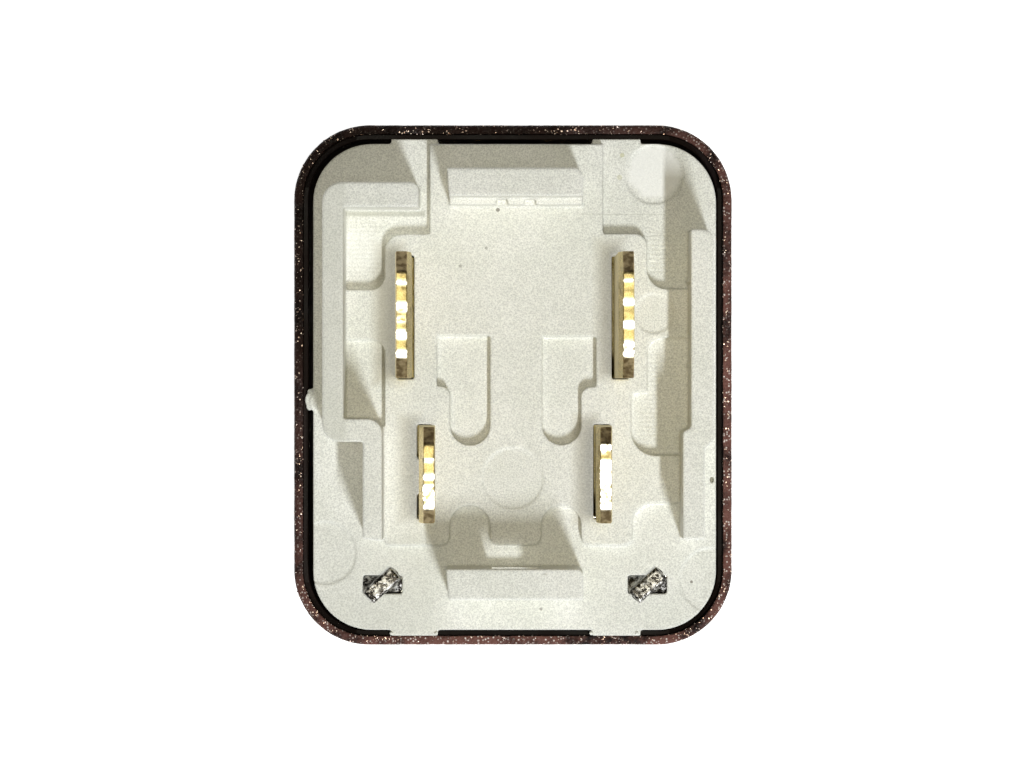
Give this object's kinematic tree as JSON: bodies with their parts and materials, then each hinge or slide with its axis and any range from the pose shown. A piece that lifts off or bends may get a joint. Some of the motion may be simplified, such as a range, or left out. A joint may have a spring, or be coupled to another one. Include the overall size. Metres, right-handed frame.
{
  "type": "automotive relay",
  "caption": "Compact plug-in automotive relay: dark moulded cover, cream base with keying rails, flat brass blades.",
  "frame": {"origin": "middle of the outer face of the cover's closed end, on which the relay stands", "axes": "+Z towards the blade tips, +Y towards the side with the load blades, +X to the right as the blades are looked at with +Y up"},
  "size_m": [0.0228, 0.027, 0.0334],
  "materials": {
    "cover_shell": "moulded, with a coarse spark-eroded grain",
    "base_moulding": "moulded, with a fine spark-eroded grain",
    "blade_brass": "blanked strip with bright sheared edges",
    "plated_steel": "nickel-plated",
    "soft_iron": "plated, satin",
    "bobbin_moulding": "moulded",
    "enamelled_copper": "clear enamel over copper",
    "leaf_alloy": "rolled copper alloy",
    "contact_silver": "turned silver alloy",
    "resistor_coat": "lacquer-dipped",
    "tinned_wire": "tinned"
  },
  "bodies": {
    "frame": {"cover": "cover_shell", "base": "base_moulding", "yoke": "plated_steel", "core": "soft_iron", "bobbin": "bobbin_moulding", "winding": "enamelled_copper", "coil_lead_a": "enamelled_copper", "coil_lead_b": "enamelled_copper", "spring_rivets": "plated_steel", "fixed_contact": "contact_silver", "back_stop": "plated_steel", "blade_common": "blade_brass", "blade_output": "blade_brass", "blade_coil_a": "blade_brass", "blade_coil_b": "blade_brass", "resistor": "resistor_coat", "resistor_leads": "tinned_wire"},
    "armature": {"armature": "soft_iron", "armature_rivets": "soft_iron", "moving_contact": "contact_silver", "contact_spring": "leaf_alloy"}
  },
  "joints": [
    {"name": "armature_hinge", "type": "hinge", "parent": "frame", "child": "armature", "pos_m": [0, -0.0106, 0.0048], "axis": [1, 0, 0], "range_deg": [0, 2.5], "stiffness_Nm_per_rad": 0.02, "springref_deg": -11.46, "deforming": ["contact_spring"]}
  ]
}
